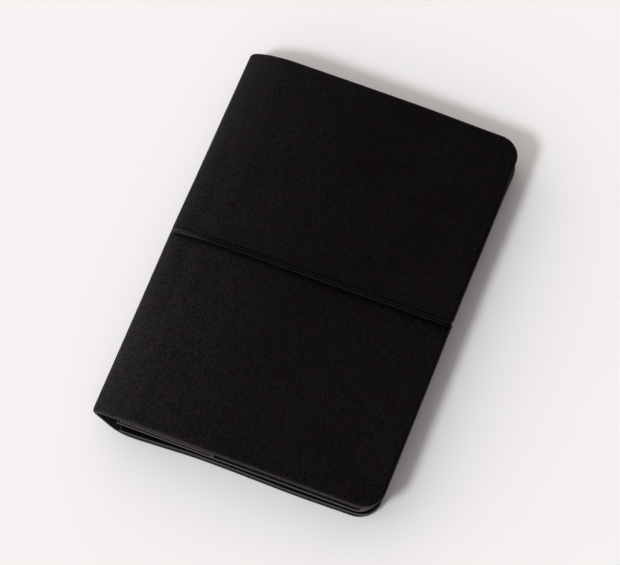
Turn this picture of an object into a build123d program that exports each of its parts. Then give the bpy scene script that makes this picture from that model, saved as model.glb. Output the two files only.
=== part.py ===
"""Pocket notebook: a stapled booklet tucked into a wrapped leather cover, held shut by an elastic loop.

Millimetres.  The closed notebook lies on its back cover: spine at -X, fore-edge at +X, tail at -Y,
head at +Y, front cover up.  The origin is under the middle of the whole outline, on the rest plane.
The stack is worked out from the back cover upwards, so every layer moves when one thickness changes.
"""
from build123d import *
import math
import os

# ---- booklet ---------------------------------------------------------------------------------
booklet_length = 140.0        # head to tail
booklet_width = 90.0          # back of the fold to fore-edge
leaf_groups = 8               # bundles of leaves, half of them each side of the middle opening
group_thickness = 0.48
group_gap = 0.02
leaf_corner = 5.0
card_thickness = 0.4          # the booklet's own card cover
fold_fit = 0.05               # nested folds to card
turning_clearance = 0.15      # card fold to the leaves that swing round it
wire_diameter = 0.5           # staples
wire_fit = 0.05
wire_bend = 0.5
crown_length = 12.0
staple_spacing = 70.0
clinch_length = 4.0

# ---- leather cover ---------------------------------------------------------------------------
leather = 2.0
sleeve_leather = 1.1
panel_leather = 0.9
end_margin = 4.0              # cover past the booklet at head and tail
fore_margin = 9.0             # cover past the booklet at the fore-edge
spine_depth = 14.0            # back of the spine to where the covers lie flat
apex_radius = 4.2             # outside of the leather fold
cover_corner = 9.0
sleeve_corner = 6.5
edge_round = 0.8
mouth_clearance = 0.1         # sleeve mouth to the sloping flank of the spine
card_clearance = 0.2          # above and below the card in its pocket
card_end_clearance = 0.5
block_clearance = 0.1         # leaves to sleeve
panel_width = 30.0
tack_width = 1.3
tack_length = 3.0

# ---- elastic ---------------------------------------------------------------------------------
cord_width = 2.0
cord_thickness = 1.4
cord_gap = 0.1
cord_place = -1.8             # along the spine, from mid length towards the tail
rest_gap = 0.05               # cord to the rest plane, inside its channel
hole_angle = 56.0             # holes above and below the back of the spine
hole_bend = 0.95
edge_bend = 1.4
flank_bend = 6.0
knot_diameter = 3.4
knot_length = 4.6
knot_clearance = 0.3

# ---- stack, from the rest plane up -----------------------------------------------------------
block_thickness = leaf_groups * (group_thickness + group_gap)
rear_pocket = card_thickness + 2 * card_clearance
front_pocket = rear_pocket + panel_leather
rear_sleeve_bottom = leather + rear_pocket
block_bottom = rear_sleeve_bottom + sleeve_leather + block_clearance
fold_height = block_bottom + block_thickness / 2
front_sleeve_bottom = block_bottom + block_thickness + block_clearance
front_cover_bottom = front_sleeve_bottom + sleeve_leather + front_pocket
thickness = front_cover_bottom + leather
middle_height = thickness / 2

# ---- plan ------------------------------------------------------------------------------------
card_fold_inner = block_thickness / 2 + fold_fit
card_fold_outer = card_fold_inner + card_thickness
leaf_start_radius = card_fold_outer + turning_clearance
spine_to_fold = leather + knot_diameter + 2 * knot_clearance + card_fold_outer
cover_width = spine_to_fold - card_fold_outer + booklet_width + fore_margin
cover_length = booklet_length + 2 * end_margin
cord_offset = cord_gap + cord_thickness / 2
overall_width = cover_width + cord_gap + cord_thickness
spine_x = -overall_width / 2
fore_x = spine_x + cover_width
flat_x = spine_x + spine_depth
fold_x = spine_x + spine_to_fold
leaf_fore_x = fold_x - card_fold_outer + booklet_width
half_length = cover_length / 2
pocket_border = end_margin - card_end_clearance
channel_depth = rest_gap + cord_thickness + cord_gap


def plate(x_low, x_high, length, corner, z_bottom, height):
    """Flat piece with square corners at the spine side and round ones at the fore-edge side."""
    outline = Pos((x_low + x_high) / 2, 0) * Rectangle(x_high - x_low, length)
    fore_corners = outline.vertices().group_by(Axis.X)[-1]
    return Pos(0, 0, z_bottom) * extrude(fillet(fore_corners, corner), height)


def block(x_low, x_high, y_low, y_high, z_low, z_high):
    """Box between two opposite corners."""
    size = (x_high - x_low, y_high - y_low, z_high - z_low)
    centre = ((x_low + x_high) / 2, (y_low + y_high) / 2, (z_low + z_high) / 2)
    return Pos(*centre) * Box(*size)


def across(section, length):
    """Section drawn in X and Z, made into a bar along Y and centred on the middle of the notebook."""
    return extrude(Plane.XZ * section, length / 2, both=True)


def tangent_point(centre_x, radius, point_x, point_rise):
    """Where a line from a point meets a circle on the mid-height line, on the side away from it."""
    run = point_x - centre_x
    reach = math.hypot(run, point_rise)
    angle = math.atan2(point_rise, run) + math.acos(radius / reach)
    return centre_x + radius * math.cos(angle), radius * math.sin(angle)


def fold_section(radius, rise):
    """Teardrop: two lines from the flat covers, tangent to the round back of the spine."""
    centre_x = spine_x + apex_radius
    touch_x, touch_rise = tangent_point(centre_x, radius, flat_x, rise)
    upper = (touch_x, middle_height + touch_rise)
    lower = (touch_x, middle_height - touch_rise)
    upper_end = (flat_x, middle_height + rise)
    lower_end = (flat_x, middle_height - rise)
    back = (centre_x - radius, middle_height)
    outline = Line(lower_end, lower) + ThreePointArc(lower, back, upper)
    outline += Line(upper, upper_end) + Line(upper_end, lower_end)
    return make_face(outline)


def flank_overhang(rise):
    """How far from the flat cover towards the spine the flank's inner face has sloped in by a rise."""
    inner_radius, inner_rise = apex_radius - leather, middle_height - leather
    touch_x, touch_rise = tangent_point(spine_x + apex_radius, inner_radius, flat_x, inner_rise)
    return rise * (flat_x - touch_x) / (inner_rise - touch_rise)


def flank_line(side):
    """Straight flank of the leather fold: a point and a unit direction for its outer face."""
    centre_x = spine_x + apex_radius
    touch_x, touch_rise = tangent_point(centre_x, apex_radius, flat_x, middle_height)
    run, rise = flat_x - touch_x, middle_height - touch_rise
    reach = math.hypot(run, rise)
    return (flat_x, middle_height + side * middle_height), (run / reach, side * rise / reach)


def strand_route(side, run_height):
    """Centre line of one strand: knot, out of its hole, along the flank, across the cover."""
    knot_x = spine_x + leather + knot_clearance + knot_diameter / 2
    (face_x, face_z), (along_x, along_z) = flank_line(side)
    start_x, start_z = face_x - side * along_z * cord_offset, face_z + side * along_x * cord_offset
    out_x, out_z = -math.cos(math.radians(hole_angle)), side * math.sin(math.radians(hole_angle))
    # the hole's direction meets the line that runs beside the flank
    turn = out_x * along_z - out_z * along_x
    reach = ((start_x - knot_x) * along_z - (start_z - middle_height) * along_x) / turn
    hole = (knot_x + reach * out_x, middle_height + reach * out_z)
    to_cover = (run_height - start_z) / along_z
    bend = (start_x + to_cover * along_x, run_height)
    return [(knot_x, middle_height), hole, bend]


def strand(side, run_height, spare):
    """One strand of the elastic, up to the middle of its wrap round the fore-edge."""
    points = strand_route(side, run_height)
    points += [(fore_x + cord_offset, run_height), (fore_x + cord_offset, middle_height)]
    path = FilletPolyline(*points, radius=[hole_bend, flank_bend, edge_bend])
    path = Pos(0, cord_place, 0) * (Plane.XZ * path)
    start = Plane(path @ 0, x_dir=(0, 1, 0), z_dir=path % 0)
    return sweep(start * Ellipse(cord_width / 2 + spare, cord_thickness / 2 + spare), path)


def elastic(spare=0.0):
    """Both strands and the knot that joins them inside the spine."""
    knot_x = spine_x + leather + knot_clearance + knot_diameter / 2
    knot = scale(Sphere(knot_diameter / 2), (1, knot_length / knot_diameter, 1))
    knot = Pos(knot_x, cord_place, middle_height) * knot
    front = strand(1, thickness + cord_offset, spare)
    rear = strand(-1, rest_gap + cord_thickness / 2, spare)
    return front + rear + knot


def cover_leaf(z_bottom, outer_face_up):
    """Flat leather of one cover, its outer edges rounded at head, tail and fore-edge."""
    leaf = plate(flat_x, fore_x, cover_length, cover_corner, z_bottom, leather)
    outer = leaf.faces().sort_by(Axis.Z)[-1 if outer_face_up else 0]
    rim = outer.edges().filter_by(lambda edge: edge.center().X > flat_x + edge_round)
    return fillet(rim, edge_round)


def channel():
    """Groove that the elastic has pressed into the underside."""
    half = cord_width / 2 + cord_gap
    return block(spine_x, fore_x + edge_bend, cord_place - half, cord_place + half, -leather, channel_depth)


def spine_cover():
    """The leather where it folds from one cover to the other."""
    shell = fold_section(apex_radius, middle_height) - fold_section(apex_radius - leather, middle_height - leather)
    return across(shell, cover_length) - elastic(cord_gap) - channel()


def sleeve(z_bottom, pocket_bottom, pocket_height):
    """Inner leather, bonded to its cover along a border on three sides; its mouth faces the spine."""
    mouth_x = flat_x - flank_overhang(rear_pocket - mouth_clearance)
    panel = plate(mouth_x, fore_x, cover_length, sleeve_corner, z_bottom, sleeve_leather)
    rim = plate(flat_x, fore_x, cover_length, sleeve_corner, pocket_bottom, pocket_height)
    hollow_length = cover_length - 2 * pocket_border
    rim -= block(flat_x - 1, fore_x - pocket_border, -hollow_length / 2, hollow_length / 2,
                 pocket_bottom - 1, pocket_bottom + pocket_height + 1)
    return panel + rim


def pocket_panel():
    """Narrow leather lining panel between the front cover and its sleeve."""
    return block(flat_x, flat_x + panel_width, -half_length, half_length,
                 front_cover_bottom - panel_leather, front_cover_bottom)


def bar_tack(side):
    """Close stitches that hold the panel's corner to the sleeve, at head or tail."""
    inner, outer = half_length - tack_length, half_length
    y_low, y_high = (inner, outer) if side > 0 else (-outer, -inner)
    tack_x = flat_x + panel_width
    return block(tack_x, tack_x + tack_width, y_low, y_high, front_sleeve_bottom, front_cover_bottom)


def leaf_group(number):
    """Bundle of leaves; its inner end stays outside the circle of the folds, so it can swing."""
    pitch = group_thickness + group_gap
    z_bottom = block_bottom + number * pitch + group_gap / 2
    from_middle = min(abs(z_bottom - fold_height), abs(z_bottom + group_thickness - fold_height))
    start = math.sqrt(leaf_start_radius ** 2 - from_middle ** 2)
    return plate(fold_x + start, leaf_fore_x, booklet_length, leaf_corner, z_bottom, group_thickness)


def card_half(z_pocket):
    """One side of the booklet's card cover, in its pocket."""
    z_bottom = z_pocket + card_clearance
    return plate(flat_x, leaf_fore_x, booklet_length, leaf_corner, z_bottom, card_thickness)


def staple(y_middle, spare=0.0):
    """Bent wire: crown along the back of the fold, two legs through it, ends clinched inside."""
    crown_x = fold_x - card_fold_outer - wire_diameter / 2 - wire_fit
    clinch_x = fold_x + wire_diameter / 2 + wire_fit
    leg_y = crown_length / 2
    tip_y = leg_y - clinch_length
    points = [(clinch_x, tip_y), (clinch_x, leg_y), (crown_x, leg_y)]
    points += [(x, -y) for x, y in reversed(points)]
    path = Pos(0, y_middle, fold_height) * FilletPolyline(*points, radius=wire_bend)
    start = Plane(path @ 0, z_dir=path % 0)
    return sweep(start * Circle(wire_diameter / 2 + spare), path)


def staples(spare=0.0):
    return [staple(side * staple_spacing / 2, spare) for side in (-1, 1)]


def without_staple_holes(bar):
    for hole in staples(wire_fit):
        bar -= hole
    return bar


def ahead_of_fold():
    """Everything on the leaves' side of the line that they turn about, as a section."""
    return Pos(fold_x + 2 * card_fold_outer, fold_height) * Rectangle(4 * card_fold_outer, 4 * card_fold_outer)


def sheet_fold():
    """The nested folds of the sheets, behind the line that the leaves turn about."""
    disc = Pos(fold_x, fold_height) * Circle(block_thickness / 2)
    return without_staple_holes(across(disc - ahead_of_fold(), booklet_length))


def card_fold():
    """Back of the card cover, wrapped round the folds."""
    centre = Pos(fold_x, fold_height)
    ring = centre * Circle(card_fold_outer) - centre * Circle(card_fold_inner)
    return without_staple_holes(across(ring - ahead_of_fold(), booklet_length))


parts = {
    "back_cover": cover_leaf(0, outer_face_up=False) - channel() - elastic(cord_gap),
    "front_cover": cover_leaf(front_cover_bottom, outer_face_up=True),
    "spine_cover": spine_cover(),
    "rear_sleeve": sleeve(rear_sleeve_bottom, leather, rear_pocket),
    "front_sleeve": sleeve(front_sleeve_bottom, front_sleeve_bottom + sleeve_leather, front_pocket)
    - pocket_panel() - bar_tack(-1) - bar_tack(1),
    "pocket_panel": pocket_panel(),
    "bar_tacks": Compound([bar_tack(-1), bar_tack(1)]),
    "rear_card": card_half(leather),
    "front_card": card_half(front_sleeve_bottom + sleeve_leather),
    "card_fold": card_fold(),
    "sheet_fold": sheet_fold(),
    "staples": Compound(staples()),
    "elastic_loop": elastic(),
}
for number in range(leaf_groups):
    parts[f"leaves_{number + 1}"] = leaf_group(number)

os.makedirs("parts", exist_ok=True)
for name, shape in parts.items():
    export_step(shape, f"parts/{name}.step")
    print(name, len(shape.solids()), round(shape.volume, 2))
print("cover", round(cover_width, 2), cover_length, "thick", round(thickness, 2))
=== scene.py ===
"""Pocket notebook: its looks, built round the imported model.

Metres.  The closed notebook lies on its back cover: spine at -X, fore-edge at +X, tail at -Y, head at +Y.
Every sheet of leather, card or paper is one grid of points laid along a line that is drawn in X and Z.
"""

import bpy
import numpy as np
from mathutils import Matrix, Vector


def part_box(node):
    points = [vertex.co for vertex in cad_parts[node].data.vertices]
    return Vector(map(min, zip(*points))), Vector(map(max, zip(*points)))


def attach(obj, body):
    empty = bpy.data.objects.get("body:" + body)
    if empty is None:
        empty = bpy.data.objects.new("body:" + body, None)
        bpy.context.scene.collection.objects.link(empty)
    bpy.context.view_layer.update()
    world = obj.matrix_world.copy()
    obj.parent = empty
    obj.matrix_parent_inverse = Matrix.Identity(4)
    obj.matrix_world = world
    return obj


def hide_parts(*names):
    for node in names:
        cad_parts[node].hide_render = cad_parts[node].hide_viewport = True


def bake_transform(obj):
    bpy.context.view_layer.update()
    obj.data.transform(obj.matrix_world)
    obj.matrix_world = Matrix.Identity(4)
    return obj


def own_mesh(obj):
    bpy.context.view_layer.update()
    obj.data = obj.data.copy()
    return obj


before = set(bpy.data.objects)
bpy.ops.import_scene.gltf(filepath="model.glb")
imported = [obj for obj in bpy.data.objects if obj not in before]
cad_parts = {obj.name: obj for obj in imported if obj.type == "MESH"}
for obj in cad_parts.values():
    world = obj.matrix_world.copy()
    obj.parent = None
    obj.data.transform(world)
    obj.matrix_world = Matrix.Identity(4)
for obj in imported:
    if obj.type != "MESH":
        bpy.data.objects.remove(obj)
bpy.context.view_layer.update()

MM = 0.001

# ---- sizes from the frame --------------------------------------------------------------------
back_low, back_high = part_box("back_cover")
fold_low, fold_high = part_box("card_fold")
panel_low, panel_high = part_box("pocket_panel")
tack_low, tack_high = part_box("bar_tacks")
rear_card_low, rear_card_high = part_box("rear_card")
front_card_low, front_card_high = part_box("front_card")
front_sleeve_low, front_sleeve_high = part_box("front_sleeve")
rear_sleeve_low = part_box("rear_sleeve")[0]
sheets_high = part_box("sheet_fold")[1]
cord_low, cord_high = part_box("elastic_loop")
cord_y = (cord_low.y + cord_high.y) / 2
spine_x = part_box("spine_cover")[0].x
flat_x = back_low.x
fore_x = back_high.x
half_length = back_high.y
leather = back_high.z
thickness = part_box("front_cover")[1].z
fold_x = fold_high.x
fold_z = (fold_low.z + fold_high.z) / 2
fold_radius = fold_high.z - fold_z
sheet_radius = sheets_high.z - fold_z
card = rear_card_high.z - rear_card_low.z
card_gap = rear_card_low.z - leather
rear_sleeve_face = rear_card_high.z + card_gap
front_sleeve_face = front_card_low.z - card_gap

# ---- sizes of the looks ----------------------------------------------------------------------
FRONT_CORNER = 8 * MM
BACK_CORNER = 8 * MM
SLEEVE_CORNER = 7.5 * MM
LEAF_CORNER = 5 * MM
SPINE_THICKER = 0.6 * MM      # full height at the spine, over the frame's
FORE_THINNER = 0.6 * MM
FOLD_REACH = 17 * MM          # back of the spine to where the covers lie flat
FOLD_POWER = 1.8
SPINE_BOW = 0.3 * MM
SEAM = 1.6 * MM               # back of the spine to the hidden join of the two leather meshes
BEND_REACH = 5.5 * MM         # reach over which the leather would turn with an opening cover; here it only places seam_turn's second point
OUTER_ROUND = 1.25 * MM
INNER_ROUND = 0.35 * MM
LINING_ROUND = 0.3 * MM
BORDER = 2.8 * MM             # where a sleeve is bonded to its cover
FORE_BORDER = 1.0 * MM        # the same along the fore-edge
FRONT_IN = 0.95 * MM          # front cover's fore-edge, inside the frame's
FRONT_SLEEVE_IN = 2.2 * MM
BACK_IN = 3.0 * MM            # back cover's and rear sleeve's, so the front cover hangs over
SLEEVE_OUT = 0.25 * MM        # sleeves stand out past the cover's rim
FRONT_MOUTH_OUT = 1.2 * MM    # front sleeve's mouth, nearer the spine than the frame's
TAIL_DRAWN_IN = 0.9 * MM      # tail end of the spine
TAIL_BULGE = 1.1 * MM         # back cover's tail edge, near the spine
FAR_BULGE = 0.4 * MM          # the same edge, farther on
WAIST = 0.25 * MM             # front cover's fore-edge goes in, a little past mid length
FRONT_END_IN = 0.5 * MM       # the same towards the head
BACK_HEAD_OUT = 1.35 * MM     # back cover's fore-edge comes out again towards the head
BACK_TAIL_OUT = 0.9 * MM      # and towards the tail
HEAD_BOW = 0.25 * MM          # front cover's head edge stands out at its middle
FRONT_HEAD_IN = 0.4 * MM      # head edges stand back towards the fore-edge
SLEEVE_HEAD_IN = 1.3 * MM
BACK_HEAD_IN = 1.5 * MM
FRONT_NOTCH = 1.3 * MM        # fore-edges pulled in by the elastic
SLEEVE_NOTCH = 0.8 * MM
BACK_NOTCH = 0.4 * MM
EDGE_ZONE = 6 * MM            # how far in from a fore-edge its wandering is felt
FRONT_DROOP = 0.8 * MM        # sleeves' ends, away from their covers
REAR_DROOP = 1.1 * MM
GROOVE = 0.4 * MM             # under the elastic, in the front cover
CORD_WIDTH = 1.85 * MM
CORD_HEIGHT = 1.5 * MM
CORD_SINK = 0.15 * MM
HOLE_PLACE = 3.8 * MM         # back of the spine to the hole, along the leather
CORD_SLANT = 0.6 * MM         # how much nearer the head the elastic is at the fore-edge
CORD_INSIDE = 1.6 * MM        # frame's fore-edge to the cord's middle line, at the front cover
CORD_TUCK = 1.1 * MM          # how much further in it is at the back cover
SWELL = 1.2 * MM              # the fold is fuller at mid length, under the elastic
EDGE_TURN = 1.3 * MM          # bends of the elastic round the fore-edge
CHANNEL = 1.55 * MM           # depth of the elastic's channel in the underside
REST_GAP = 0.05 * MM          # elastic to the rest plane, in its channel
KNOT_PLACE = 4.0 * MM         # back of the spine to the knot
SHEETS_IN_GROUP = 4
PAPER = 0.1 * MM
SHARP = 50                    # degrees between two faces, from where their edge is sharp


# ---- meshes ----------------------------------------------------------------------------------
def smooth(t):
    """0 below 0, 1 above 1, and 3 t squared - 2 t cubed between."""
    t = np.clip(t, 0, 1)
    return t * t * (3 - 2 * t)


def spaced(*stretches):
    """Rising places from stretches of (start, end, step), evenly spaced within each stretch."""
    parts = [np.linspace(a, b, max(2, round(abs(b - a) / step) + 1)) for a, b, step in stretches]
    return np.unique(np.concatenate(parts).round(8))


def bell(away, width):
    """1 in the middle, falling off on both sides as exp(-(away / width) squared)."""
    return np.exp(-(away / width) ** 2)


def rim(reach=3.2 * MM, count=11):
    """Distances from a free edge, growing as a square, so that its rounding has enough rows."""
    return reach * np.linspace(0, 1, count) ** 2


def along_y(half, step, middle_step=None):
    """Rows from tail to head: close at both ends and, where asked for, beside the elastic."""
    reach = rim()
    core = [(-half + reach[-1], half - reach[-1], step)]
    if middle_step:
        core.append((cord_y - 5 * MM, cord_y + 5 * MM, middle_step))
    core = spaced(*core)
    return np.concatenate([-half + reach[:-1], core, half - reach[-2::-1]])


def grid_faces(rows, columns, first=0, closed=False):
    """Quads between neighbouring rows and columns of a grid whose points are numbered row by row."""
    i, j = np.meshgrid(np.arange(rows - 1), np.arange(columns if closed else columns - 1), indexing="ij")
    k = (j + 1) % columns
    quads = [i * columns + j, (i + 1) * columns + j, (i + 1) * columns + k, i * columns + k]
    return first + np.stack(quads, -1).reshape(-1, 4)


def ring_of(rows, columns):
    """Numbers of a grid's border points, once round."""
    n = np.arange(rows * columns).reshape(rows, columns)
    return np.concatenate([n[0, :-1], n[:-1, -1], n[-1, :0:-1], n[:0:-1, 0]])


def enclosed(points, faces):
    """Six times the volume inside the faces: the sum of each triangle's corner products."""
    a, b, c, d = (points[faces[:, n]] for n in range(4))
    first = (np.cross(a, b) * c).sum()
    return first + (np.cross(a, c) * d).sum()


def placed(name, data):
    """An object at the origin that shows a mesh, or carries a lamp or a lens."""
    piece = bpy.data.objects.new(name, data)
    bpy.context.scene.collection.objects.link(piece)
    return piece


def new_piece(name, points, faces, border):
    """A mesh object at the origin, its faces turned outwards and smooth except at sharp edges.

    Each point keeps its distance from the sheet's cut edge, for the finishes.
    """
    if enclosed(points, faces) < 0:
        faces = faces[:, ::-1]
    mesh = bpy.data.meshes.new(name)
    mesh.from_pydata(points.tolist(), [], faces.tolist())
    mesh.shade_smooth()
    mesh.set_sharp_from_angle(angle=np.radians(SHARP))
    mesh.attributes.new("border", "FLOAT", "POINT").data.foreach_set("value", border.astype(np.float32))
    mesh.update()
    return placed(name, mesh)


def round_corners(s, y, end, half, corner):
    """Turns the two far corners of a grid round.

    In the square at a corner, the larger of a point's two distances from the square's inner corner
    becomes its distance from there, and the smaller one its angle, so edge rows stay beside the edge.
    """
    p = s - (end - corner)
    q = np.abs(y) - (half - corner)
    inside = (p > 0) & (q > 0)
    far = np.maximum(p, q)
    turn = np.pi / 4 * np.minimum(p, q) / np.where(inside, far, 1)
    along = np.where(p >= q, np.cos(turn), np.sin(turn))
    aside = np.where(p >= q, np.sin(turn), np.cos(turn))
    s = np.where(inside, end - corner + far * along, s)
    y = np.where(inside, np.sign(y) * (half - corner + far * aside), y)
    return s, y


def rounding(distance, radius):
    """How far a face has dropped, at a distance from its edge, by a quarter circle of that radius."""
    short = np.clip(radius - distance, 0, radius)
    return radius - np.sqrt(radius ** 2 - short ** 2)


def sheet(line, s, y, corner, depth, outer_round, inner_round, free_start=True, relief=None, drift=None):
    """Points and faces of a closed sheet, and each point's distance from its cut edge.

    The grid's s runs along the line and y across it.  The outer face lies on the line, less its edge
    rounding and the relief; the inner face lies a depth under it.  The four borders are joined.
    """
    start, end, half = s[0], s[-1], y[-1]
    S, Y = np.meshgrid(s, y, indexing="ij")
    edge = np.minimum(end - S, half - np.abs(Y))
    if free_start:
        edge = np.minimum(edge, S - start)
    S, Y = round_corners(S, Y, end, half, corner)
    outer = rounding(edge, outer_round)
    inner = depth - rounding(edge, inner_round)
    if relief:
        outer, inner = relief(S, Y, edge, outer, inner)
    x, z, nx, nz = line(S)
    faces = [grid_faces(len(s), len(y)), grid_faces(len(s), len(y), len(s) * len(y))[:, ::-1]]
    ring = ring_of(len(s), len(y))
    after = np.roll(ring, -1)
    shift = len(s) * len(y)
    faces.append(np.stack([ring, after, after + shift, ring + shift], -1))
    layers = []
    for drop in (outer, inner):
        px, py, pz = x - nx * drop, Y, z - nz * drop
        if drift:
            px, py, pz = drift(px, py, pz, edge)
        layers.append(np.stack([px, py, pz], -1).reshape(-1, 3))
    return np.concatenate(layers), np.concatenate(faces), np.tile(edge.ravel(), 2)


def joined(parts):
    """Several sheets as one."""
    starts = np.cumsum([0] + [len(part[0]) for part in parts[:-1]])
    points, borders = (np.concatenate([part[n] for part in parts]) for n in (0, 2))
    return points, np.concatenate([part[1] + start for part, start in zip(parts, starts)]), borders


def tube(path, wide, high, aside=(0, 1, 0), around=16):
    """Oval tube along a path: its points, its faces and the uv of every corner.

    Each ring is the path's point plus wide * cos along `aside`, made square to the path, and
    high * sin along the direction square to both.  Both ends close on their middle with triangles.
    """
    tangent = np.gradient(path, axis=0)
    tangent /= np.linalg.norm(tangent, axis=1)[:, None]
    aside = np.broadcast_to(np.asarray(aside, float), path.shape)
    side = aside - tangent * (aside * tangent).sum(1)[:, None]
    side /= np.linalg.norm(side, axis=1)[:, None]
    up = np.cross(tangent, side)
    turn = -np.pi / 2 + 2 * np.pi * np.arange(around) / around
    wide = np.broadcast_to(wide, len(path))[:, None, None]
    high = np.broadcast_to(high, len(path))[:, None, None]
    cosine, sine = np.cos(turn)[None, :, None], np.sin(turn)[None, :, None]
    ring = wide * cosine * side[:, None] + high * sine * up[:, None]
    points = (path[:, None] + ring).reshape(-1, 3)
    faces = grid_faces(len(path), around, closed=True)[:, ::-1]
    last = len(points) - around
    n = np.arange(around)
    after = (n + 1) % around
    first_cap = np.stack([after, n, np.full(around, len(points))], -1)
    last_cap = np.stack([last + n, last + after, np.full(around, len(points) + 1)], -1)
    run = np.concatenate([[0], np.cumsum(np.linalg.norm(np.diff(path, axis=0), axis=1))])
    i, j = np.meshgrid(np.arange(len(path) - 1), np.arange(around), indexing="ij")
    corners = ((0, 1), (1, 1), (1, 0), (0, 0))
    uv = np.stack([np.stack([run[i + a], (j + b) / around], -1) for a, b in corners], -2)
    uv = np.concatenate([uv.reshape(-1, 2), np.zeros((2 * 3 * around, 2))])
    points = np.concatenate([points, path[:1], path[-1:]])
    return points, (faces, first_cap, last_cap), uv


def tube_piece(name, tubes):
    """One object from several tubes."""
    points, faces, corners = [], [], []
    start = 0
    for tube_points, groups, uv in tubes:
        points.append(tube_points)
        for group in groups:
            faces += (group + start).tolist()
        corners.append(uv)
        start += len(tube_points)
    mesh = bpy.data.meshes.new(name)
    mesh.from_pydata(np.concatenate(points).tolist(), [], faces)
    corners = np.concatenate(corners).astype(np.float32)
    mesh.uv_layers.new(name="Along").data.foreach_set("uv", corners.ravel())
    mesh.shade_smooth()
    mesh.update()
    return placed(name, mesh)


# ---- the stack -------------------------------------------------------------------------------
def top_height(x):
    """Height of the front cover: a straight slope from the spine side down to the fore-edge."""
    run = np.clip((x - flat_x) / (fore_x - flat_x), 0, 1)
    return thickness + SPINE_THICKER - (SPINE_THICKER + FORE_THINNER) * run


def settled(x, z):
    """A height in the frame's even stack, as it lies in the sloping one."""
    return z * top_height(x) / thickness


middle_height = top_height(flat_x) / 2


def wrap_table(side):
    """Outer face of the leather from the back of the spine to the fore-edge: x, z and distance along.

    Within the fold's reach the height from the middle is its full value times the root of
    1 - (1 - d / reach) ** power, where d is the distance in from the back of the spine.
    """
    share = np.linspace(0, 1, 600) ** 2
    inner = FOLD_REACH * share
    d = np.concatenate([inner, np.linspace(FOLD_REACH, fore_x - spine_x, 600)[1:]])
    x = spine_x + d
    full = top_height(x) - middle_height if side > 0 else np.full_like(x, middle_height)
    z = middle_height + side * full * np.sqrt(1 - (1 - np.clip(d / FOLD_REACH, 0, 1)) ** FOLD_POWER)
    run = np.concatenate([[0], np.cumsum(np.hypot(np.diff(x), np.diff(z)))])
    return x, z, run


WRAP = {1: wrap_table(1), -1: wrap_table(-1)}


def wrap_line(s, side=1):
    """Point and outward direction on the leather's outer face.

    s is counted from the back of the spine along one side, and negative s is on the other side.
    """
    found = []
    for half in (side, -side):
        x, z, run = WRAP[half]
        tx, tz = np.gradient(x, run), np.gradient(z, run)
        reach = np.hypot(tx, tz)
        at = np.abs(s)
        values = (x, z, -half * tz / reach, half * tx / reach)
        found.append([np.interp(at, run, value) for value in values])
    return [np.where(s >= 0, same, other) for same, other in zip(*found)]


def flat_line(x_start, z_face, side):
    """Straight line at a height of the stack, facing up or down."""
    def line(s):
        x = x_start + s
        return x, settled(x, z_face), np.zeros_like(x), np.full_like(x, float(side))
    return line


def ripple(x, y, size, seed):
    """Slow unevenness of hand-cut leather: four crossing waves of about the given length, from -1 to 1."""
    total = 0
    for n in range(4):
        angle = seed + 2.4 * n
        pitch = 2 * np.pi / (size * (1 + 0.23 * n))
        total = total + np.sin(pitch * (x * np.cos(angle) + y * np.sin(angle)) + 1.7 * n * seed)
    return total / 4


def share_across(x):
    """0 at the back of the spine, 1 at the frame's fore-edge."""
    return (x - spine_x) / (fore_x - spine_x)


def near_head(y):
    """0 over most of the length, rising to 1 before the head edge."""
    return smooth((y - half_length + 12 * MM) / (8 * MM))


def by_edge(edge):
    """1 on a free edge, falling to 0 inside, so that only the edge wanders."""
    return smooth(1 - edge / EDGE_ZONE)


def head_in(px, py, depth):
    """How far a head edge stands back on its way to the fore-edge."""
    return depth * near_head(py) * smooth((share_across(px) - 0.6) / 0.28)


def cord_place(x):
    """Y of the elastic at an X: a straight line, a little slanted."""
    return cord_y + CORD_SLANT * (share_across(x) - 0.5)


def swell(s, y):
    """Extra fullness of the fold: a smooth hump along s, times a bell along y about the elastic."""
    hump = smooth((s - 0.5 * MM) / (3 * MM)) * smooth((13 * MM - s) / (8 * MM))
    return SWELL * hump * bell(y - cord_y, 34 * MM)


def notch(px, py, depth):
    """How far the elastic has pulled a fore-edge in: a bell along y about it."""
    ahead = smooth((px - fore_x + 9 * MM) / (7 * MM))
    return depth * ahead * bell(py - cord_place(fore_x), 1.5 * MM)


# ---- leather cover ---------------------------------------------------------------------------
def bowed(px, py, pz, edge):
    """The back of the spine stands out a little at mid length, and its tail end is drawn in."""
    near = np.clip(1 - (px - spine_x) / (25 * MM), 0, 1)
    px = px - SPINE_BOW * (1 - (py / half_length) ** 2) * near
    end = smooth((-py - half_length + 10 * MM) / (10 * MM)) * smooth(1 - (px - spine_x) / (9 * MM))
    return px, py + TAIL_DRAWN_IN * end, pz


def front_relief(S, Y, edge, outer, inner):
    """Shallow groove under the elastic, low waves over the face, and a softly pressed border."""
    away = Y - cord_place(S + spine_x)
    groove = GROOVE * bell(away, 1.5 * MM) * smooth((S - HOLE_PLACE) / (2 * MM) + 0.5)
    waves = 0.07 * MM * ripple(S, Y, 30 * MM, 0.8) + 0.02 * MM * ripple(S, Y, 9 * MM, 2.1)
    quiet = smooth(edge / (2 * MM))
    return outer + groove - waves * quiet - swell(S, Y), inner - swell(S, Y)


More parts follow.
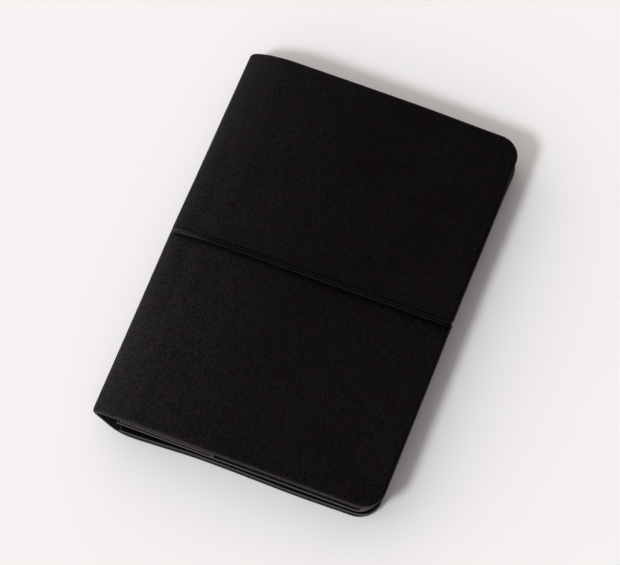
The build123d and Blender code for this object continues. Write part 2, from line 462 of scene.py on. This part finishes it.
def front_drift(px, py, pz, edge):
    """The front cover's fore-edge goes in at the elastic, at its waist and towards the head.

    Its head edge stands out by half a sine wave, and stands back again towards the fore-edge.
    """
    px, py, pz = bowed(px, py, pz, edge)
    ahead = smooth((px - fore_x + 14 * MM) / (6 * MM))
    waist = WAIST * bell(py - 8 * MM, 18 * MM)
    waist = waist + FRONT_END_IN * smooth((py - 50 * MM) / (12 * MM))
    px = px - by_edge(edge) * (notch(px, py, FRONT_NOTCH) + ahead * waist)
    bow = near_head(py) * HEAD_BOW * np.sin(np.pi * np.clip(share_across(px), 0, 1))
    return px, py + bow - head_in(px, py, FRONT_HEAD_IN), pz


def back_drift(px, py, pz, edge):
    """The back cover's tail edge stands out near the spine, and less farther on.

    Its fore-edge comes out towards both ends and goes in at the elastic; its head edge stands back.
    """
    px, py, pz = bowed(px, py, pz, edge)
    tail = smooth((-py - half_length + 14 * MM) / (12 * MM))
    d = px - spine_x
    near = smooth((d - 2 * MM) / (11 * MM)) * smooth((42 * MM - d) / (30 * MM))
    far = bell(d - 75 * MM, 17 * MM)
    py = py - tail * (TAIL_BULGE * near + FAR_BULGE * far)
    ahead = smooth((px - fore_x + 16 * MM) / (8 * MM))
    ends = BACK_HEAD_OUT * smooth((py - 10 * MM) / (60 * MM))
    ends = ends + BACK_TAIL_OUT * smooth((-py - 40 * MM) / (28 * MM))
    px = px + by_edge(edge) * (ahead * ends - notch(px, py, BACK_NOTCH))
    return px, py - head_in(px, py, BACK_HEAD_IN), pz


def back_relief(S, Y, edge, outer, inner):
    """Channel that the elastic has pressed into the underside, from its hole to the fore-edge."""
    half = CORD_WIDTH / 2 + 0.1 * MM
    slope = 0.25 * MM
    shallow = 0.3 * MM
    wall = smooth((half + slope - np.abs(Y - cord_place(S + spine_x))) / slope)
    run = smooth((S - HOLE_PLACE) / (2 * MM) + 0.5)
    flat = smooth((S - 9 * MM) / (8 * MM))
    return outer + wall * run * (shallow + (CHANNEL - shallow) * flat), inner


def cover_leather(name, side, relief, drift, corner, inset):
    """One side of the leather wrap, from the hidden seam to the fore-edge."""
    end = WRAP[side][2][-1] - inset
    start = -SEAM if side > 0 else SEAM
    s = spaced((start, start + 0.4 * MM, 0.1 * MM), (start + 0.4 * MM, 12 * MM, 0.35 * MM),
               (12 * MM, 24 * MM, 0.7 * MM), (24 * MM, end - rim()[-1], 1.25 * MM))
    s = np.concatenate([s[:-1], end - rim()[::-1]])
    y = along_y(half_length, 1.3 * MM, 0.25 * MM)
    made = sheet(lambda at: wrap_line(at, side), s, y, corner, leather, OUTER_ROUND, INNER_ROUND,
                 free_start=False, relief=relief, drift=drift)
    return new_piece(name, *made)


def seam_turn(side):
    """Where a leather half begins to bend away from the spine, and where it has left it."""
    x, z, nx, nz = (float(v) for v in wrap_line(np.array(SEAM), side))
    begin = Vector((x, 0, z))
    away = Vector((side * nz, 0, -side * nx))
    return begin, begin + away * BEND_REACH


def lining(name, x_start, end_x, z_face, depth, side, corner, border_height=None, drift=None, droop=0):
    """Flat lining leather.  side is the way its outer face looks; a bonded border rises to the cover.

    The border stops short of the edge, and past the leaves' ends the edge droops away from the cover.
    """
    end = end_x - x_start
    half = half_length + SLEEVE_OUT
    start_rim, end_rim = rim(1.5 * MM, 6), rim()
    middle = spaced((start_rim[-1], end - end_rim[-1], 1.6 * MM))[1:-1]
    s = np.concatenate([start_rim, middle, end - end_rim[::-1]])
    y = along_y(half, 1.6 * MM)

    def relief(S, Y, edge, outer, inner):
        three = np.minimum((end - S) * BORDER / FORE_BORDER, half - np.abs(Y))
        bonded = smooth((BORDER - three) / (0.6 * MM)) * smooth((three - 0.5 * MM) / (0.5 * MM))
        hang = droop * smooth((np.abs(Y) - half + 3 * MM) / (2.5 * MM))
        return outer - border_height(x_start + S) * bonded + hang * (1 - bonded), inner + hang

    made = sheet(flat_line(x_start, z_face, side), s, y, corner, depth, LINING_ROUND, LINING_ROUND,
                 relief=relief if border_height else None, drift=drift)
    return new_piece(name, *made)


front_leather = cover_leather("front_leather", 1, front_relief, front_drift, FRONT_CORNER, FRONT_IN)
back_leather = cover_leather("back_leather", -1, back_relief, back_drift, BACK_CORNER, BACK_IN)
begin, done = seam_turn(1)
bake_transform(front_leather)
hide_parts("front_cover", "spine_cover")
begin, done = seam_turn(-1)
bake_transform(back_leather)
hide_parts("back_cover")

# ---- linings ---------------------------------------------------------------------------------
front_pocket = front_sleeve_high.z - front_sleeve_face
rear_pocket = rear_sleeve_face - rear_sleeve_low.z
panel_depth = panel_high.z - panel_low.z
sleeve_depth = front_sleeve_face - front_sleeve_low.z
front_mouth_x = front_sleeve_low.x - FRONT_MOUTH_OUT


def front_border(x):
    """Height of the front sleeve's bonded border: lower where the pocket panel lies on it."""
    past = smooth((x - panel_high.x) / (1.5 * MM))
    return front_pocket - panel_depth * (1 - past)


def rear_border(x):
    """Height of the rear sleeve's bonded border, the same all along."""
    return np.full_like(x, rear_pocket)


def front_sleeve_drift(px, py, pz, edge):
    """The front sleeve's fore-edge goes in at the elastic; its head edge stands back."""
    px = px - by_edge(edge) * notch(px, py, SLEEVE_NOTCH)
    return px, py - head_in(px, py, SLEEVE_HEAD_IN), pz


front_sleeve = lining("front_sleeve_lining", front_mouth_x, fore_x - FRONT_SLEEVE_IN, front_sleeve_face,
                      sleeve_depth, 1, SLEEVE_CORNER, front_border, front_sleeve_drift, FRONT_DROOP)
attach(front_sleeve, "front")
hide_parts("front_sleeve")

rear_sleeve = lining("rear_sleeve_lining", rear_sleeve_low.x, fore_x - BACK_IN, rear_sleeve_face,
                     sleeve_depth, -1, SLEEVE_CORNER, rear_border, back_drift, REAR_DROOP)
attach(rear_sleeve, "back")
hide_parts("rear_sleeve")

pocket_lining = lining("pocket_panel_lining", panel_low.x - 3.0 * MM, panel_high.x, panel_high.z - 0.02 * MM,
                       panel_depth, 1, 0.0)
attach(pocket_lining, "front")
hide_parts("pocket_panel")


def bar_tack(side):
    """Five turns of thread over the sleeve's edge: each an oval loop in Y and Z, beside the one before."""
    turns = 5
    thread = 0.16 * MM
    loops = []
    x_low, x_high = tack_low.x, tack_high.x
    low, high = settled(x_low, tack_low.z), settled(x_low, tack_high.z)
    angle = np.linspace(0, 2 * np.pi, 29)
    for n in range(turns):
        x = x_low + (x_high - x_low) * (n + 0.5) / turns
        y = side * (half_length - 1.15 * MM + 1.55 * MM * np.cos(angle))
        z = (low + high) / 2 + ((high - low) / 2 + 0.1 * MM) * np.sin(angle)
        path = np.stack([np.full_like(angle, x) + 0.1 * MM * angle / np.pi, y, z], -1)
        loops.append(tube(path, thread, thread, aside=(1, 0, 0), around=8))
    return loops


tacks = tube_piece("bar_tack_threads", bar_tack(-1) + bar_tack(1))
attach(tacks, "front")
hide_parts("bar_tacks")

# ---- booklet ---------------------------------------------------------------------------------
def arc_line(radius):
    """Half circle behind the fold line, from its lower end over the back to its upper end."""
    def line(s):
        turn = -np.pi / 2 - s / radius
        nx, nz = np.cos(turn), np.sin(turn)
        return fold_x + radius * nx, settled(fold_x, fold_z) + radius * nz, nx, nz
    return line


def folded(radius, depth, half):
    """A sheet folded round the half circle of that radius."""
    s = np.linspace(0, np.pi * radius, 13)
    return sheet(arc_line(radius), s, spaced((-half, half, 8 * MM)), 0.0, depth, 0.01 * MM, 0.01 * MM)


def card_line(side, sleeve_mouth, z_card):
    """From the end of the card's fold, up or down to its pocket past the sleeve's mouth, then level."""
    z_start = settled(fold_x, fold_z) + side * (fold_radius - card)
    ramp = sleeve_mouth - fold_x

    def line(s):
        x = fold_x + s
        share = smooth(s / ramp)
        z = z_start + (settled(x, z_card) - z_start) * share
        return x, z, np.zeros_like(x), np.full_like(x, float(-side))
    return line


def card_leaf(name, side, sleeve_mouth, z_card, end_x, half):
    """Half of the booklet's card cover."""
    end = end_x - fold_x
    end_rim = rim(count=6)
    before = spaced((0, 5 * MM, 0.4 * MM), (5 * MM, end - end_rim[-1], 4 * MM))[:-1]
    s = np.concatenate([before, end - end_rim[::-1]])
    made = sheet(card_line(side, sleeve_mouth, z_card), s, along_y(half, 5 * MM), LEAF_CORNER, card,
                 0.05 * MM, 0.05 * MM)
    return new_piece(name, *made)


card_half = rear_card_high.y
rear_leaf = card_leaf("rear_card_leaf", -1, rear_sleeve_low.x, rear_card_high.z, rear_card_high.x, card_half)
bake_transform(rear_leaf)
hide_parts("rear_card")
front_leaf = card_leaf("front_card_leaf", 1, front_mouth_x, front_card_low.z, front_card_high.x, card_half)
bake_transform(front_leaf)
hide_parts("front_card")

card_back = new_piece("card_back_fold", *folded(fold_radius, card, card_half))
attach(card_back, "spine")
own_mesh(card_back)
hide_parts("card_fold")

count = SHEETS_IN_GROUP * 4
folds = [folded(sheet_radius * (n + 1) / count, PAPER, sheets_high.y) for n in range(count)]
sheet_back = new_piece("sheet_back_folds", *joined(folds))
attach(sheet_back, "spine")
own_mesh(sheet_back)
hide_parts("sheet_fold")


def leaf_bundle(number):
    """Four thin leaves that start at the fold line."""
    low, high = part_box(f"leaves_{number}")
    pitch = (high.z - low.z + 0.02 * MM) / SHEETS_IN_GROUP
    leaves = []
    for n in range(SHEETS_IN_GROUP):
        end = high.x - fold_x + 0.12 * MM * np.sin(2.3 * (n + SHEETS_IN_GROUP * number))
        end_rim = rim(count=5)
        s = np.concatenate([spaced((0, end - end_rim[-1], 7 * MM))[:-1], end - end_rim[::-1]])
        face = low.z + pitch * (n + 1) - 0.01 * MM
        leaves.append(sheet(flat_line(fold_x, face, 1), s, along_y(high.y, 9 * MM), LEAF_CORNER, PAPER,
                            0.01 * MM, 0.01 * MM))
    return new_piece(f"leaf_bundle_{number}", *joined(leaves))


bundles = []
for number in range(1, 9):
    bundle = leaf_bundle(number)
    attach(bundle, f"leaf_group_{number}")
    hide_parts(f"leaves_{number}")
    bundles.append(bundle)


# ---- elastic ---------------------------------------------------------------------------------
def run_points(side, lift):
    """One strand beside the leather: out of its hole, then a steady lift off the outer face."""
    before, after, inside = 1.2 * MM, 3 * MM, 2.2 * MM
    end = WRAP[side][2][-1] - CORD_INSIDE - EDGE_TURN
    s = spaced((HOLE_PLACE - before, HOLE_PLACE + after, 0.15 * MM), (HOLE_PLACE + after, end, 2.5 * MM))
    x, z, nx, nz = wrap_line(s, side)
    gone = s - HOLE_PLACE + before
    rise = lift * smooth(gone / (2.6 * MM)) - inside * (1 - smooth(gone / (2.2 * MM)))
    if side > 0:
        rise = rise + swell(s, cord_y)
    return np.stack([x + nx * rise, cord_place(x), z + nz * rise], -1)


def quarter(centre_x, centre_z, radius, start, end):
    """Arc round the fore-edge, in degrees from +X towards +Z."""
    turn = np.radians(np.linspace(start, end, 9))
    y = np.full(len(turn), cord_place(fore_x))
    return np.stack([centre_x + radius * np.cos(turn), y, centre_z + radius * np.sin(turn)], -1)


def elastic_path():
    """Centre line: knot, front run, round the fore-edge, rear run in its channel, knot."""
    front = run_points(1, CORD_HEIGHT / 2 - CORD_SINK)
    rear = run_points(-1, -CHANNEL + CORD_HEIGHT / 2 + REST_GAP)
    flat = wrap_line(np.array([20 * MM]), -1)[1][0]
    rear[:, 2] = np.where(rear[:, 0] > spine_x + 15 * MM, CORD_HEIGHT / 2 + REST_GAP + flat, rear[:, 2])
    out = fore_x - CORD_INSIDE
    top = front[-1, 2]
    bottom = rear[-1, 2]
    upper = quarter(out - EDGE_TURN, top - EDGE_TURN, EDGE_TURN, 90, 0)
    lower = quarter(out - CORD_TUCK - EDGE_TURN, bottom + EDGE_TURN, EDGE_TURN, 0, -90)
    down = np.linspace(upper[-1], lower[0], 12)[1:-1]
    knot = np.array([[spine_x + KNOT_PLACE, cord_place(spine_x), middle_height]])
    return np.concatenate([knot, front, upper, down, lower, rear[::-1], knot])


def overhand(centre, size, across):
    """Trefoil: x = sin t + 2 sin 2t, y = cos t - 2 cos 2t, z = -sin 3t, scaled into the knot's box."""
    t = np.linspace(0, 2 * np.pi, 73)
    a = (np.sin(t) + 2 * np.sin(2 * t)) / 3
    b = (np.cos(t) - 2 * np.cos(2 * t)) / 3
    c = -np.sin(3 * t)
    return np.stack([centre[0] + size * a, centre[1] + across * b, centre[2] + size * 0.6 * c], -1)


def cord_mesh():
    """The elastic with its knot inside the spine."""
    path = elastic_path()
    knot = overhand((spine_x + KNOT_PLACE, cord_place(spine_x), middle_height), 1.0 * MM, 1.6 * MM)
    knotted = 0.65 * MM
    return tube_piece("elastic_cord", [
        tube(path, CORD_WIDTH / 2, CORD_HEIGHT / 2, around=20),
        tube(knot, knotted, knotted, aside=(0.3, 0.2, 1), around=12)])


cord = cord_mesh()
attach(cord, "back")
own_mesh(cord)
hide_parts("elastic_loop")


# ---- finishes --------------------------------------------------------------------------------
class Value:
    """One output of a finish's nodes, so that patterns add and multiply as plain numbers do."""

    def __init__(self, finish, socket):
        self.finish = finish
        self.socket = socket

    def worked(self, operation, first, second):
        return self.finish.add("ShaderNodeMath", {"operation": operation}, {0: first, 1: second})

    def __add__(self, other):
        return self.worked("ADD", self, other)

    def __radd__(self, other):
        return self.worked("ADD", other, self)

    def __sub__(self, other):
        return self.worked("SUBTRACT", self, other)

    def __rsub__(self, other):
        return self.worked("SUBTRACT", other, self)

    def __mul__(self, other):
        return self.worked("MULTIPLY", self, other)

    def __rmul__(self, other):
        return self.worked("MULTIPLY", other, self)


class Finish:
    """A material under construction."""

    def __init__(self, name, tree=None):
        if tree is None:
            self.material = bpy.data.materials.new(name)
            self.material.use_nodes = True
            tree = self.material.node_tree
        self.tree = tree
        self.tree.nodes.clear()

    def add(self, kind, settings, inputs, output=0):
        """A node of that kind, with its settings first, then its inputs as numbers or other values."""
        node = self.tree.nodes.new(kind)
        for name, setting in settings.items():
            setattr(node, name, setting)
        for name, value in inputs.items():
            if isinstance(value, Value):
                self.tree.links.new(value.socket, node.inputs[name])
            else:
                node.inputs[name].default_value = value
        return Value(self, node.outputs[output]) if node.outputs else None

    def place(self):
        return self.add("ShaderNodeTexCoord", {}, {}, "Object")

    def apart(self, vector, axis):
        """One part of a vector: 0 for X, 1 for Y, 2 for Z."""
        return self.add("ShaderNodeSeparateXYZ", {}, {0: vector}, axis)

    def noise(self, place, scale, detail=2.0, roughness=0.5, output=0):
        return self.add("ShaderNodeTexNoise", {}, {"Vector": place, "Scale": scale, "Detail": detail,
                                                   "Roughness": roughness}, output)

    def cells(self, place, scale):
        """Distance to the nearest edge between cells."""
        return self.add("ShaderNodeTexVoronoi", {"feature": "DISTANCE_TO_EDGE"},
                        {"Vector": place, "Scale": scale})

    def range(self, value, low, high, low_to=0.0, high_to=1.0):
        """A value from low to high, as one from low_to to high_to, eased at both ends."""
        ends = {"From Min": low, "From Max": high, "To Min": low_to, "To Max": high_to}
        return self.add("ShaderNodeMapRange", {"interpolation_type": "SMOOTHSTEP"}, {"Value": value, **ends})

    def wave(self, angle):
        return self.add("ShaderNodeMath", {"operation": "SINE"}, {0: angle})

    def wound(self):
        """A cord's own uv: metres along it, and turns round it."""
        along = self.add("ShaderNodeUVMap", {"uv_map": "Along"}, {})
        return self.apart(along, 0), self.apart(along, 1)

    def mix(self, factor, first, second):
        return self.add("ShaderNodeMix", {"data_type": "RGBA"}, {0: factor, 6: first, 7: second}, 2)

    def moved(self, place, offset, amount):
        """A place moved by a colour's offset from mid grey, times an amount."""
        centred = self.add("ShaderNodeVectorMath", {"operation": "SUBTRACT"}, {0: offset, 1: (0.5, 0.5, 0.5)})
        scaled = self.add("ShaderNodeVectorMath", {"operation": "SCALE"}, {0: centred, "Scale": amount})
        return self.add("ShaderNodeVectorMath", {"operation": "ADD"}, {0: place, 1: scaled})

    def cut(self, reach):
        """1 on a sheet's cut edge, falling to 0 at a reach from it."""
        border = self.add("ShaderNodeAttribute", {"attribute_name": "border"}, {}, "Fac")
        return self.range(border, 0.0, reach, 1.0, 0.0)

    def bump(self, height):
        """Normal from a height in metres."""
        return self.add("ShaderNodeBump", {}, {"Height": height, "Strength": 1.0, "Distance": 1.0})

    def done(self, **inputs):
        """The shader, with its inputs named as on the node, with _ for a space."""
        inputs = {name.replace("_", " "): value for name, value in inputs.items()}
        shader = self.add("ShaderNodeBsdfPrincipled", {}, inputs)
        self.add("ShaderNodeOutputMaterial", {}, {"Surface": shader})
        return self.material


BRAID_PITCH = 3800.0          # radians of ridge along a metre of elastic
BRAID_STRANDS = 50.265        # and once round it: eight ridges
TWIST_PITCH = 12000.0         # the same for the thread
TWIST_STRANDS = 12.566        # two strands


def shade(red, green, blue):
    """An opaque colour."""
    return (red, green, blue, 1.0)


def cover_finish():
    """Black leather: fine pebbles parted by wrinkles, brown and blue-grey mottle, a painted sheen that makes
    it paler by the spine and towards the tail, and cut edges lighter, partly by painted highlight.
    """
    finish = Finish("grained_black_leather")
    place = finish.place()
    sway = finish.noise(place, 420, 2.0, output="Color")
    bent = finish.moved(place, sway, 0.0018)
    pebble = finish.range(finish.cells(bent, 1200), 0.0, 0.4)
    pores = finish.noise(place, 2600, 3.0, 0.6)
    wrinkles = finish.range(finish.noise(bent, 480, 4.0, 0.6), 0.35, 0.7)
    patch = finish.range(finish.noise(place, 55, 3.0, 0.6), 0.3, 0.7)
    height = (pebble * 0.00009 + wrinkles * 0.00016 + pores * 0.00004) * (0.5 + 0.5 * patch)
    mottle = finish.range(finish.noise(place, 210, 4.0, 0.7), 0.38, 0.62)
    speckle = finish.range(finish.noise(bent, 1300, 2.0, 0.6), 0.38, 0.62)
    across, along = finish.apart(place, 0), finish.apart(place, 1)
    # Painted sheen: paler warm and blue-grey colour by the spine and towards the tail, where the key light's
    # sheen falls on the leather.
    tailward = finish.range(along, half_length, -half_length)
    sheen_spread = finish.range(across, spine_x, spine_x + 62 * MM, 1.0, 0.0) * (0.55 + 0.45 * tailward)
    brown = finish.mix(speckle, shade(0.0001, 0.0, 0.0), shade(0.0034, 0.0012, 0.0014))
    grey = finish.mix(speckle, shade(0.0001, 0.0, 0.0), shade(0.0020, 0.0014, 0.0018))
    colour = finish.mix(mottle, brown, grey)
    sheen_warm = finish.mix(speckle, shade(0.0044, 0.0034, 0.0036), shade(0.0130, 0.0104, 0.0112))
    sheen_cool = finish.mix(speckle, shade(0.0034, 0.0032, 0.0038), shade(0.0108, 0.0100, 0.0118))
    painted_sheen = finish.mix(mottle, sheen_warm, sheen_cool)
    # The painted sheen mixed into the leather's colour.
    colour = finish.mix(sheen_spread * 0.78 + 0.22 * tailward, colour, painted_sheen)
    # Cut edges and rims lighter: partly the raw cut leather's own paler colour, partly painted highlight
    # where the rounded rims catch the key light.
    colour = finish.mix(finish.cut(0.5 * MM), colour, shade(0.0240, 0.0205, 0.0245))
    rough = 0.48 + 0.08 * patch + 0.08 * pores - 0.05 * pebble
    return finish.done(Base_Color=colour, Roughness=rough, Specular_IOR_Level=0.048,
                       Normal=finish.bump(height))


def lining_finish():
    """Smoother split leather, matt, with a short nap."""
    finish = Finish("smooth_lining_leather")
    place = finish.place()
    nap = finish.noise(place, 3200, 4.0, 0.7)
    flow = finish.noise(place, 240, 3.0)
    colour = finish.mix(flow, shade(0.0030, 0.0026, 0.0028), shade(0.0020, 0.0018, 0.0020))
    # Cut edges lighter: partly the raw edge's own colour, partly painted highlight on the rounded rims.
    colour = finish.mix(finish.cut(0.3 * MM), colour, shade(0.0560, 0.0500, 0.0540))
    return finish.done(Base_Color=colour, Roughness=0.5 + 0.25 * nap, Specular_IOR_Level=0.05,
                       Normal=finish.bump(nap * 0.00003 + flow * 0.00003))


def card_finish():
    """Black card with a fine fibre."""
    finish = Finish("black_card")
    place = finish.place()
    fibre = finish.noise(place, 1800, 4.0, 0.7)
    colour = finish.mix(fibre, shade(0.010, 0.010, 0.011), shade(0.016, 0.016, 0.017))
    return finish.done(Base_Color=colour, Roughness=0.75 + 0.1 * fibre, Specular_IOR_Level=0.3,
                       Normal=finish.bump(fibre * 0.00001))


def paper_finish():
    """Uncoated ivory paper: faint clouds and a fibre that is just felt."""
    finish = Finish("ivory_paper")
    place = finish.place()
    clouds = finish.noise(place, 130, 4.0, 0.6)
    fibre = finish.noise(place, 2400, 4.0, 0.7)
    colour = finish.mix(clouds, shade(0.80, 0.765, 0.66), shade(0.86, 0.83, 0.735))
    return finish.done(Base_Color=colour, Roughness=0.82 + 0.1 * fibre, Specular_IOR_Level=0.25,
                       Normal=finish.bump(fibre * 0.000008))


def wire_finish():
    """Drawn steel wire, with fine lines round it and a little dulling."""
    finish = Finish("drawn_steel_wire")
    place = finish.place()
    drawn = finish.noise(place, 6000, 2.0)
    dull = finish.noise(place, 500, 3.0)
    colour = finish.mix(dull, shade(0.50, 0.50, 0.51), shade(0.68, 0.68, 0.68))
    return finish.done(Base_Color=colour, Metallic=1.0, Roughness=0.25 + 0.2 * dull,
                       Normal=finish.bump(drawn * 0.000004))


def braid_finish():
    """Braided sleeve of the elastic: two sets of ridges that wind opposite ways, on the cord's own uv, and a
    painted highlight that makes it paler near the spine.
    """
    finish = Finish("braided_elastic")
    run, turn = finish.wound()
    one = finish.wave(run * BRAID_PITCH + turn * BRAID_STRANDS)
    two = finish.wave(run * BRAID_PITCH - turn * BRAID_STRANDS)
    weave = finish.add("ShaderNodeMath", {"operation": "MAXIMUM"}, {0: one, 1: two})
    place = finish.place()
    fuzz = finish.noise(place, 3000, 3.0, 0.7)
    colour = finish.mix(finish.range(weave, -1.0, 1.0), shade(0.0002, 0.0002, 0.0002),
                        shade(0.0008, 0.0007, 0.0008))
    # Painted highlight: the elastic is paler near the spine, where it leaves its hole.
    painted_sheen = finish.range(finish.apart(place, 0), spine_x, spine_x + 16 * MM, 1.0, 0.0)
    colour = finish.mix(painted_sheen, colour, shade(0.0120, 0.0115, 0.0125))
    return finish.done(Base_Color=colour, Roughness=0.25 + 0.12 * fuzz, Specular_IOR_Level=0.05,
                       Normal=finish.bump(weave * 0.00002 + fuzz * 0.00001))


def thread_finish():
    """Waxed thread: a close twist along its own uv."""
    finish = Finish("waxed_thread")
    run, turn = finish.wound()
    twist = finish.wave(run * TWIST_PITCH + turn * TWIST_STRANDS)
    colour = finish.mix(finish.range(twist, -1.0, 1.0), shade(0.012, 0.011, 0.012),
                        shade(0.034, 0.031, 0.033))
    return finish.done(Base_Color=colour, Roughness=0.6, Specular_IOR_Level=0.2,
                       Normal=finish.bump(twist * 0.00001))


def dress(finish, *pieces):
    """Gives every piece that one material."""
    for piece in pieces:
        piece.data.materials.clear()
        piece.data.materials.append(finish)


dress(cover_finish(), front_leather, back_leather)
dress(lining_finish(), front_sleeve, rear_sleeve, pocket_lining)
dress(card_finish(), rear_leaf, front_leaf, card_back)
dress(paper_finish(), sheet_back, *bundles)
dress(wire_finish(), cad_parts["staples"])
dress(braid_finish(), cord)
dress(thread_finish(), tacks)


# ---- floor, light and camera -----------------------------------------------------------------
VIEW_TURN = -21.18            # degrees round from straight in front of the tail
VIEW_HEIGHT = 66.56           # degrees above the floor
VIEW_DISTANCE = 1050.2 * MM
VIEW_LENS = 174.66            # millimetres, on the 36 mm frame
VIEW_SENSOR = 36
VIEW_SIDE = -1.158 * MM
VIEW_UP = 1.649 * MM
KEY_TOWARDS = (-0.35, -0.69, 0.705)
KEY_SPREAD = 12.6             # degrees across, as seen from the floor
KEY_STRENGTH = 1.9
KEY_COLOUR = (0.93, 0.985, 1.0)
ROOM_COLOUR = (1.0, 0.925, 0.905, 1.0)
FLOOR_HALF = 2.5              # metres


def floor():
    """Plain pale floor, flat and matt, faintly uneven."""
    finish = Finish("pale_floor")
    tone = finish.noise(finish.place(), 3.0, 2.0)
    colour = finish.mix(tone, shade(0.79, 0.79, 0.79), shade(0.81, 0.81, 0.81))
    material = finish.done(Base_Color=colour, Roughness=1.0, Specular_IOR_Level=0.0)
    mesh = bpy.data.meshes.new("floor")
    half = FLOOR_HALF
    corners = [(-half, -half, 0), (half, -half, 0), (half, half, 0), (-half, half, 0)]
    mesh.from_pydata(corners, [], [(0, 1, 2, 3)])
    ground = placed("floor", mesh)
    dress(material, ground)


def key_light():
    """A large soft lamp so far off that it lights the whole floor evenly."""
    lamp = bpy.data.lights.new("key", "SUN")
    lamp.angle = np.radians(KEY_SPREAD)
    lamp.energy = KEY_STRENGTH
    lamp.color = KEY_COLOUR
    holder = placed("key", lamp)
    direction = Vector(KEY_TOWARDS).normalized()
    holder.location = direction
    holder.rotation_euler = direction.to_track_quat("Z", "Y").to_euler()


def surroundings():
    """White studio: bright low down, darker overhead, a little brighter on the spine's side."""
    world = bpy.data.worlds.new("studio")
    world.use_nodes = True
    bpy.context.scene.world = world
    room = Finish("studio", world.node_tree)
    way = room.add("ShaderNodeTexCoord", {}, {}, "Generated")
    across, up = room.apart(way, 0), room.apart(way, 2)
    level = room.range(up, 0.0, 1.0, 1.9, 0.3) * (1.0 - 0.98 * across)
    back = room.add("ShaderNodeBackground", {}, {"Color": ROOM_COLOUR, "Strength": level})
    room.add("ShaderNodeOutputWorld", {}, {"Surface": back})


def camera():
    """Looks down at the middle of the cover from the tail, turned a little."""
    turn, height = np.radians(VIEW_TURN), np.radians(VIEW_HEIGHT)
    ahead = Vector((np.sin(turn) * np.cos(height), np.cos(turn) * np.cos(height), -np.sin(height)))
    right = Vector((np.cos(turn), -np.sin(turn), 0))
    up = right.cross(ahead)
    lens = bpy.data.cameras.new("view")
    lens.sensor_width = VIEW_SENSOR
    lens.lens = VIEW_LENS
    lens.clip_start = 0.01
    holder = placed("view", lens)
    centre = Vector(((spine_x + fore_x) / 2, 0, 0))
    place = centre - ahead * VIEW_DISTANCE + right * VIEW_SIDE + up * VIEW_UP
    holder.matrix_world = Matrix((
        (right.x, up.x, -ahead.x, place.x),
        (right.y, up.y, -ahead.y, place.y),
        (right.z, up.z, -ahead.z, place.z),
        (0, 0, 0, 1)))
    bpy.context.scene.camera = holder


floor()
key_light()
surroundings()
camera()
view = bpy.context.scene.view_settings
view.view_transform = "Standard"
view.look = "None"
view.exposure = 0
view.gamma = 1
